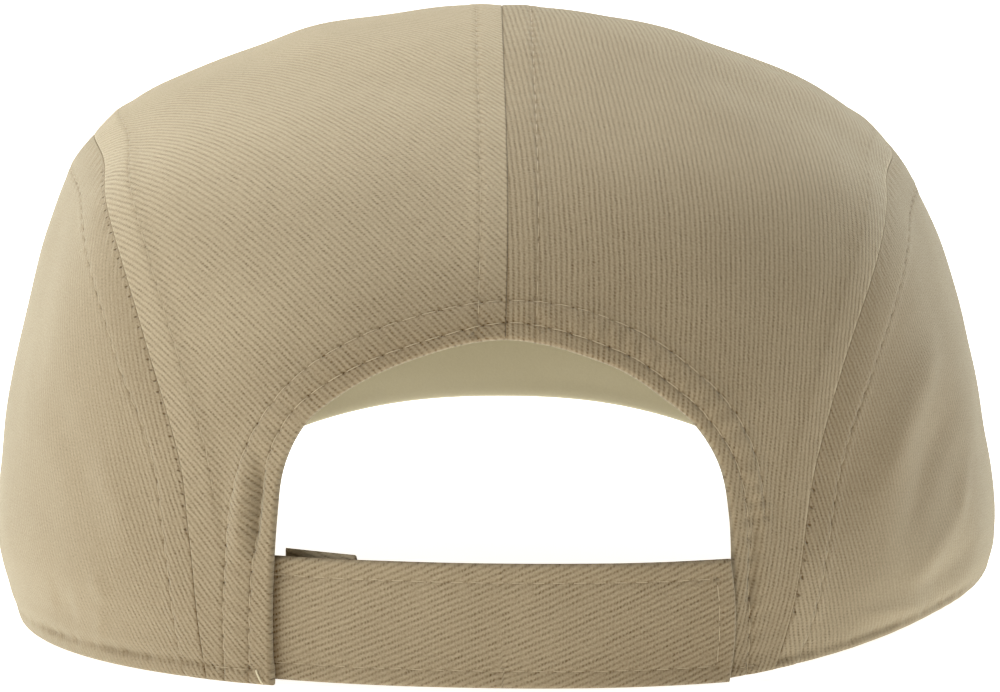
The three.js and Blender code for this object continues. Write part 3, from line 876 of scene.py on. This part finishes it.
def makeSide(side):
    look, top = sidePanel[side], sidePanel["overTop"]
    hand = -1 if side == "left" else 1
    shoulder, front = seams["shoulder", side], seams["front", side]
    feet = foot(front), foot(shoulder)

    def guess(points):
        return np.stack([hand * points[..., 1], points[..., 2] * 1.1], -1)

    def creaseDepth(points):
        return look["creaseDepth"] * (1 - 0.9 * smooth(-60, -12, points[:, 1]))

    sewnPanel("sidePanel" + side.title(), "side_panel_" + side, {
        "near": byShare(front, 1, 0), "far": byShare(shoulder, 1, top),
        "first": hemBetween(*feet), "last": byShare(shoulder, 0, top),
        "across": spaced(150, 0.95, 0.42, 10), "along": spaced(92, 0.75, 0.42, 10),
        "guess": guess, "order": [0, 1, 2], "material": sideTwill, **look["cloth"],
        "edges": [
            seamEdge(front, [row(5.5)], seed=4.0),
            seamEdge(shoulder, [look["slits"], sidePanel["row"]], pucker=0.1, slant=1.5,
                     darkAt=sidePanel["darkAt"], darkReach=0.5, **look["shoulder"]),
            hemEdge(hemLine(*feet), crease=look["crease"], creaseDepth=creaseDepth),
        ],
    })


backPanel = {
    "centreShare": 0.655,   # share of the panel's inner edge that is the centre seam, before the arch
    # fade in each cloth: painted light and shade, the tone at those heights
    "left": {
        "cloth": {"waleAngle": 131, "stretch": 1.03, "fade": (-0.06, -0.02, 0.13)},
        "centreRow": row(4.8, mark=0.5),
        "shoulderRow": row(6.2, sewn=(0, 0.84), mark=0.5, deep=0.55),
        "hemRow": row(3.0, sewn=(0.1, 1), mark=0.4),
        "shoulder": {"round": 0.42, "dark": (-0.04, -0.05, 0.0)},
        # shade: painted shade above the arch
        "arch": {"shade": 0.16, "pucker": (0.05, 0.06, 0.06, 0.08, 0.12, 0.06), "rows": [
            row([2.8, 2.2, 2.4, 2.9, 3, 3.7, 4.2], (0, 0.1, 0.24, 0.36, 0.54, 0.78, 1), pitch=3.5, mark=1.0),
            row([6.7, 6.7, 7.1, 7.2, 6.8, 7.6, 8.9, 9.2], (0, 0.1, 0.24, 0.36, 0.45, 0.54, 0.64, 1),
                pitch=3.3, mark=0.9),
        ]},
    },
    "right": {
        "cloth": {"waleAngle": 94, "stretch": 1.08, "fade": (-0.05, -0.04, -0.02), "lean": 0.42},
        "centreRow": row(5.3, mark=0.25),
        "shoulderRow": row(5.6, sewn=(0, 0.8), mark=0.15, deep=0.4, stitched=False),
        "hemRow": row(2.0, sewn=(0.06, 0.62), pitch=1.5),
        "shoulder": {"round": 0.3, "dark": (-0.24, -0.2, -0.06)},   # below 0 it is paler along the ridge
        "arch": {"shade": 0.07, "pucker": (0.1, 0.22, 0.32, 0.1, 0.05, 0.06), "rows": [
            row([2.9, 2.8, 2.3, 2.9, 3.2], (0, 0.3, 0.45, 0.6, 1), pitch=3.5, mark=1.0),
            row([6.8, 7.6, 7.4, 6.8, 6.5, 6.6], (0, 0.15, 0.3, 0.45, 0.6, 1), pitch=3.3, mark=0.9, sewn=(0, 0.66)),
        ]},
    },
    # the heavy thread that ends the left hem's row, in mm
    "tack": {"along": 2.2, "top": 3.1, "bottom": 0.15, "radius": 0.2, "sunk": -0.05, "steps": 20},
}


def makeBack(side):
    look, share = backPanel[side], backPanel["centreShare"]
    centre, arch = seams["centre"], seams["arch", side]
    shoulder, topFront = seams["shoulder", side], seams["topFront", side]
    feet = foot(arch), foot(shoulder)
    hem = hemLine(*feet)

    def guess(points):
        turn = np.arctan2(points[..., 1], points[..., 2] - 20)
        return np.stack([points[..., 0] * 1.1, turn * 92], -1)

    upper = spaced(182, 0.8, 0.42, 8) * share
    lower = spaced(90, 0.6, 0.42, 8) * (1 - share) + share
    edges = [
        # painted shade in the centre seam's crease
        seamEdge(centre, [look["centreRow"]], seed=6.0, dark=(0.2, 0.2), darkReach=0.2, lift=0.26, round=0.28),
        seamEdge(topFront, [row(5.5)], seed=7.0),
        seamEdge(shoulder, [look["shoulderRow"]], seed=1.0, lift=0.42, darkAt=(0, 0.85, 1), darkReach=0.5,
                 **look["shoulder"]),
        {"kind": "arch", "line": arch, "lift": 0.4, "seed": 8.0, "round": 1.0,
         "puckerAt": (0, 0.12, 0.3, 0.5, 0.7, 1), **look["arch"]},
        hemEdge(hem, rows=[look["hemRow"]], creaseDepth=lambda points: np.full(len(points), 0.1)),
    ]
    sewnPanel("backPanel" + side.title(), "back_panel_" + side, {
        "near": joined(byShare(centre), byShare(arch), share), "far": byShare(shoulder),
        "first": byShare(topFront), "last": hemBetween(*feet),
        "across": spaced(78, 0.85, 0.42, 10), "along": np.r_[upper, lower[1:]],
        "guess": guess, "order": [1, 2, 0], "edges": edges, **look["cloth"],
    })
    if side == "left":
        tack = backPanel["tack"]
        steps = tack["steps"]
        angle = feet[0] + (feet[1] - feet[0]) * tack["along"] / hem["length"]
        heights = hemHeight(angle) + np.linspace(tack["top"], tack["bottom"], steps)
        places = ringPoint(angle + np.linspace(0.25, -0.45, steps), heights)
        ups = outward(places)
        height, *_ = relief(places, edges)
        path = places + ups * height[:, None]
        parts = [stitchMesh(path, ups, np.linspace(0, 1, steps), tack["sunk"], tack["radius"])]
        addStitches("hemTack", parts, tackThread)


def makeFront():
    left, right = seams["front", "left"], seams["front", "right"]
    topLeft, topRight = seams["topFront", "left"], seams["topFront", "right"]
    feet = foot(left), foot(right)

    def guess(points):
        return np.stack([-points[..., 0] * 1.1, points[..., 2] * 1.1], -1)

    sewnPanel("frontPanel", "front_panel", {
        "near": byShare(left, 1, 0), "far": byShare(right, 1, 0),
        "first": hemBetween(*feet), "last": joined(byShare(topLeft, 1, 0), byShare(topRight), 0.5),
        "across": spaced(165, 0.9, 0.5, 9), "along": spaced(80, 0.9, 0.5, 9),
        "guess": guess, "order": [0, 1, 2], "waleAngle": 125,
        "edges": [
            *(seamEdge(line, [row(5.5)], seed=4.0) for line in (left, right)),
            *(seamEdge(line, [row(5.5)], seed=7.0) for line in (topLeft, topRight)),
            hemEdge(hemLine(*feet)),
        ],
    })


for side in ("left", "right"):
    makeBack(side)
    makeSide(side)
makeFront()


# A flat-sewn piece: two faces from a function of shares, its edge folded round, and rows of stitches near it

def flatPiece(name, node, spec):
    face, thickness = spec["face"], spec["thickness"]
    s, t = (grid.ravel() for grid in np.meshgrid(spec["across"], spec["along"]))
    place, normals, away = face(s, t)
    roll = rolledIn(away, thickness / 2)
    height, tone, rows = spec["relief"](s, t, place, away)
    parts = []
    for rowS, rowT, turns, sunk in spec.get("stitches", []):
        laid, ups, far = face(rowS, rowT)
        lift, *_ = spec["relief"](rowS, rowT, laid, far)
        parts.append(stitchMesh(laid + ups * lift[:, None], ups, turns, sunk))
    addShell(name, node, spec, place + normals * (height - roll)[:, None],
             place + normals * (roll - thickness)[:, None], spec["cloth"](s, t, place), tone,
             nearestRow(rows) if rows else np.zeros((len(s), 3)), parts)


# The sweatband lines the hem. Its inner face is the one that shows, through the opening and from below.

band = {"height": 28, "thickness": 1.4, "depth": 1.9, "length": 470, "row": 25.5, "rolled": 1.5, "short": 2}


def makeBand():
    # it ends a few degrees short of the shoulder seams
    start, end = foot(seams["shoulder", "left"]) + band["short"], foot(seams["shoulder", "right"]) - band["short"]
    length, rolled = band["length"], band["rolled"]

    def face(s, t):
        angle = start + (end - start) * s
        outer = ringPoint(angle, hemHeight(angle) + band["height"] * t)
        way = -outward(outer)
        away = np.minimum(np.minimum(t, 1 - t) * band["height"], np.minimum(s, 1 - s) * length)
        return outer + way * (band["depth"] + band["thickness"]), way, away

    def bandRelief(s, t, place, away):
        low = t * band["height"]
        waves = 0.3 * softNoise(place, 38, 12) * smooth(0, 0.2, t) * smooth(0, 0.2, 1 - t)
        sewn = bell(low - band["row"], 0.6)
        # painted light: paler towards the bottom and along the rolled edge, where light comes up from the floor;
        # painted shade along the row
        tone = -0.12 + 0.36 * (1 - smooth(0, 16, low)) + 0.2 * bell(low, rolled) - 0.04 * sewn
        return 0.12 * bell(low - rolled, rolled) + waves - 0.14 * sewn, tone, []

    steps = np.linspace(0, 1, 500)
    flatPiece("sweatbandCotton", "sweatband", {
        "across": spaced(length, 1.0, 0.8, 10), "along": spaced(band["height"], 0.5, 0.4, 6),
        "face": face, "relief": bandRelief, "thickness": band["thickness"], "slot": "sweatband",
        "material": bandCotton, "cloth": lambda s, t, place: np.stack([s * length, t * band["height"]], -1),
        "stitches": [(steps, 0 * steps + band["row"] / band["height"], steps * length / sewing["pitch"], 0.06)],
    })


# The peak runs out from under the front panel: two twill covers over a board, with rows of topstitching

peak = {
    "endAngle": 56, "widest": 72, "halfWidth": 83, "behind": 34, "square": 2.5, "turn": 115,
    "thickness": 2.6, "slope": 0.1, "rows": 6, "rowGap": 6.5, "firstRow": 3.2, "waleAngle": 125,
}

peakSpan = 220   # mm round the peak's edge, near enough to tell how far off its ends are


def makePeak():
    def outline(share):
        turn = np.radians((2 * share - 1) * peak["turn"])
        bend = lambda value: np.sign(value) * np.abs(value) ** (2 / peak["square"])
        ahead = crown["frontReach"] + crown["peakLength"] - peak["widest"]
        depth = np.where(np.cos(turn) > 0, ahead, peak["behind"])
        x, y = peak["halfWidth"] * bend(np.sin(turn)), peak["widest"] + depth * bend(np.cos(turn))
        return np.stack([x, y, 0 * x], -1)

    def sheet(s, t):
        angle = peak["endAngle"] * (2 * s - 1)
        start = ringPoint(angle, hemHeight(angle))
        start = start - outward(start) * 0.8
        end = outline(s)
        end[:, 2] = start[:, 2]
        point = start + (end - start) * t[:, None]
        point[:, 2] += 0.3 + peak["thickness"] - peak["slope"] * np.linalg.norm(point - start, axis=1)
        return point

    rimLine = measured(sheet(np.linspace(0, 1, 900), np.ones(900)))

    def face(s, t):
        point = sheet(s, t)
        right = sheet(np.clip(s + 0.002, 0, 1), t) - sheet(np.clip(s - 0.002, 0, 1), t)
        out = sheet(s, t + 0.004) - sheet(s, t - 0.004)
        normals = unit(np.cross(right, out))
        normals *= np.sign(normals[:, 2:])
        rimAway, _ = nearest(point, rimLine)
        return point, normals, np.minimum(rimAway, np.minimum(s, 1 - s) * peakSpan + 0.3)

    def peakRelief(s, t, point, away):
        rimAway, along = nearest(point, rimLine)
        height, tone, rows = 0.05 * softNoise(point, 25, 21), np.zeros(len(point)), []
        turns = along / sewing["pitch"]
        for k in range(peak["rows"]):
            off = rimAway - peak["firstRow"] - k * peak["rowGap"]
            height -= 0.28 * bell(off, 0.6)
            height += 0.05 * bell(off, 2.0) * np.cos(2 * np.pi * turns + k)
            # painted shade in each row's furrow
            tone -= 0.06 * bell(off, 0.5)
            rows.append((off, turns, np.ones(len(point))))
        return height, tone + 0.06 * bell(rimAway, 0.9), rows

    def stitchRow(k):   # a row that runs evenly inside the rim
        target = peak["firstRow"] + k * peak["rowGap"]
        s = np.linspace(0.004, 0.996, 420)
        low, high = np.zeros(len(s)), np.ones(len(s))
        for _ in range(18):
            middle = (low + high) / 2
            away, _ = nearest(sheet(s, middle), rimLine)
            low, high = np.where(away > target, middle, low), np.where(away > target, high, middle)
        good = low > 0.04
        _, along = nearest(sheet(s[good], low[good]), rimLine)
        return s[good], low[good], along / sewing["pitch"], 0.06

    flatPiece("peakCovers", "peak", {
        "across": spaced(215, 0.9, 0.7, 8), "along": spaced(72, 0.5, 0.45, 8),
        "face": face, "relief": peakRelief, "thickness": peak["thickness"],
        "cloth": lambda s, t, point: walesAcross(np.stack([-point[:, 0], point[:, 1]], -1), peak["waleAngle"]),
        "stitches": [stitchRow(k) for k in range(peak["rows"])],
    })


# The strap: an outer half over the opening, an inner half behind it, and the tape that closes them

strap = {
    "bottom": 0.8, "width": 22.4, "thickness": 1.8, "tapeThickness": 1.7, "gap": 0.3,
    "left": -50, "right": 39.1, "bow": 1.0, "edgeRow": 3.3, "endRow": 3.2, "waleAngle": 24, "stretch": 1.06,
    "innerLeft": -40.3, "innerRight": 46.5, "turnEnd": -26.8, "innerWaleAngle": -20, "mark": 0.3,
    "bares": -39.3,   # x where it comes out from under the crown's edge
}
insideStand = -(1.6 + strap["gap"])


def outerStand(x):   # how far the outer half stands out from the crown's own line
    return insideStand + (strap["gap"] + strap["thickness"] - insideStand) * smooth(-44, 37, x)


def innerStand(x):
    depth = strap["thickness"] + strap["tapeThickness"] + 2 * strap["gap"]
    return insideStand - depth * (1 - smooth(-44, 37, x))


def stripFace(left, right, bottom, top, stand, bow=0):
    def face(s, t):
        x = left + (right + bow * np.sin(np.pi * t) - left) * s
        z = bottom(x) + (top(x) - bottom(x)) * t
        side, back, _, square, lean = sectionAt(z)
        y = -back * (1 - (np.abs(x - lean) / side) ** square) ** (1 / square)
        place = np.stack([x, y, z], -1)
        normals = outward(place)
        ends = np.minimum(s, 1 - s) * (right - left) * strap["stretch"]
        away = np.minimum(np.minimum(t, 1 - t) * (top(x) - bottom(x)), ends)
        return place + normals * stand(x)[:, None], normals, away
    return face


def stripCloth(angle):
    def cloth(s, t, place):
        along = np.hypot(place[:, 0], (place[:, 1] + 98) * 0.6) * np.sign(place[:, 0])
        return walesAcross(np.stack([along, place[:, 2]], -1), angle)
    return cloth


def level(value):
    return lambda x: value + 0 * x


def makeStraps():
    low, high = strap["bottom"], strap["bottom"] + strap["width"]
    width, thickness, pitch = strap["width"], strap["thickness"], sewing["pitch"]
    span = (strap["right"] - strap["left"]) * strap["stretch"]

    def outerRelief(s, t, place, away):
        up, right = t * width, (1 - s) * span
        height, tone, rows = 0.16 * softNoise(place, 22, 31), np.zeros(len(s)), []
        sides = (right > strap["endRow"] - 0.6) * 1.0
        between = ((up > strap["edgeRow"] - 0.6) & (up < width - strap["edgeRow"] + 0.6)) * 1.0
        for off, turns, present in (
            (up - strap["edgeRow"], right / pitch, sides),
            (width - strap["edgeRow"] - up, right / pitch, sides),
            (right - strap["endRow"], up / pitch, between),
        ):
            height -= present * 0.14 * bell(off, 0.5)
            height += present * 0.05 * bell(off, 1.8) * np.cos(2 * np.pi * turns)
            # painted shade in each row's furrow
            tone -= present * 0.02 * bell(off, 0.5)
            rows.append((off, turns, present * strap["mark"]))
        bared = place[:, 0] - strap["bares"]   # painted shadow of the crown's edge, dark beside it
        shade = -0.2 * (1 - smooth(-0.2, 1.1, bared)) - 0.05 * (1 - smooth(0, 3.2, bared))
        # painted shade, darker towards the right end
        shade -= 0.05 * smooth(30, 80, bared)
        return height, tone + shade - 0.03 + 0.03 * bell(away, 0.7), rows

    steps = np.linspace(0, 1, 300)
    endShare, rise = 1 - strap["endRow"] / span, strap["edgeRow"] / width
    toEnd, upward = steps * endShare, rise + (1 - 2 * rise) * steps
    flatPiece("strapOuterTwill", "strap_outer", {
        "across": spaced(span, 0.5, 0.4, 6), "along": spaced(width, 0.4, 0.35, 5),
        "face": stripFace(strap["left"], strap["right"], level(low), level(high), outerStand, strap["bow"]),
        "relief": outerRelief, "thickness": thickness, "cloth": stripCloth(strap["waleAngle"]),
        "stitches": [
            *((toEnd, 0 * steps + edge, (1 - toEnd) * span / pitch, 0.07) for edge in (rise, 1 - rise)),
            (0 * steps + endShare, upward, upward * width / pitch, 0.02),
        ],
    })

    turnEnd, innerSpan = strap["turnEnd"], strap["innerRight"] - strap["innerLeft"]

    def innerTop(x):   # the turned end stands a little above the rest
        step = smooth(turnEnd - 0.15, turnEnd + 0.15, x)
        return high + (0.05 + np.maximum(turnEnd - x, 0) * 0.045) * (1 - step) - 0.9 * step

    turnShare = (turnEnd - strap["innerLeft"]) / innerSpan
    stepped = np.sort(np.r_[spaced(innerSpan, 0.8, 0.4, 14), turnShare + np.linspace(-0.002, 0.002, 6)])
    flatPiece("strapInnerTwill", "strap_inner", {
        "across": stepped if len(stepped) % 2 else np.r_[stepped[:-1], [1 - 5e-4, 1]],
        "along": spaced(width, 0.8, 0.4, 4),
        "face": stripFace(strap["innerLeft"], strap["innerRight"], level(low + 0.6), innerTop, innerStand),
        # the inner half's tone is raised: painted light where it lies in the crown's shadow
        "relief": lambda s, t, place, away: (0.15 * softNoise(place, 20, 33), np.full(len(s), 0.35), []),
        "thickness": thickness, "cloth": stripCloth(strap["innerWaleAngle"]), "innerTone": -0.1,
    })
    flatPiece("fastenerTape", "strap_fastener", {
        "across": spaced(49, 0.8, 0.4, 4), "along": spaced(18.4, 0.8, 0.4, 4),
        "face": stripFace(-35, 14, level(low + 2), level(high - 2),
                          lambda x: outerStand(x) - thickness - strap["gap"]),
        "relief": lambda s, t, place, away: (0.1 * softNoise(place, 3, 35), np.zeros(len(s)), []),
        "thickness": strap["tapeThickness"], "slot": "fastener_tape", "material": loopTape,
        "cloth": stripCloth(90),
    })


makeBand()
makePeak()
makeStraps()


# The floor and the light

stage = {
    # glow: the board is lit from below too
    "floor": {"colour": "f4f3f0", "glowColour": "f4f3f0", "glow": 1.0, "roughness": 0.9, "specular": 0.1},
    "half": 8.0,   # metres from the floor's middle to its sides
    "sky": "ffffff", "skyStrength": 0.05,
    # watts, size and place in metres
    "lights": {
        "overLight": (8.5, 1.6, (0, -0.2, 1.8)),
        "overBack": (25.5, 1.4, (0, 0.7, 1.6)),
        "keyLeft": (22.0, 1.4, (-1.2, -0.6, 1.4)),
        "sideLeft": (6.0, 1.4, (-1.9, 0.1, 0.6)),
        "rimLeft": (8.8, 1.2, (-1.4, 1.2, 0.6)),
        "rimRight": (13.5, 1.2, (1.4, 1.2, 0.6)),
    },
}


def makeStage():
    # Matte painted board, a plain pale studio floor
    material, *_ = startMaterial("matteStudioBoard", stage["floor"])
    half = stage["half"]
    mesh = bpy.data.meshes.new("studioFloor")
    mesh.from_pydata([(-half, -half, 0), (half, -half, 0), (half, half, 0), (-half, half, 0)], [], [(0, 1, 2, 3)])
    mesh.materials.append(material)
    addObject("studioFloor", mesh)

    world = bpy.data.worlds.new("paleRoom")
    scene.world = world
    world.use_nodes = True
    sky = world.node_tree.nodes["Background"]
    sky.inputs["Color"].default_value = linear(stage["sky"])
    sky.inputs["Strength"].default_value = stage["skyStrength"]

    middle = Vector(toFrame((0, 0, 55)))
    for name, (power, size, place) in stage["lights"].items():
        data = bpy.data.lights.new(name, "AREA")
        data.shape = "DISK"
        data.energy, data.size = power, size
        lamp = addObject(name, data)
        lamp.location = place
        lamp.rotation_euler = (middle - Vector(place)).to_track_quat("-Z", "Y").to_euler()
    scene.view_settings.view_transform = "Standard"
    print("floor and lights set")


makeStage()
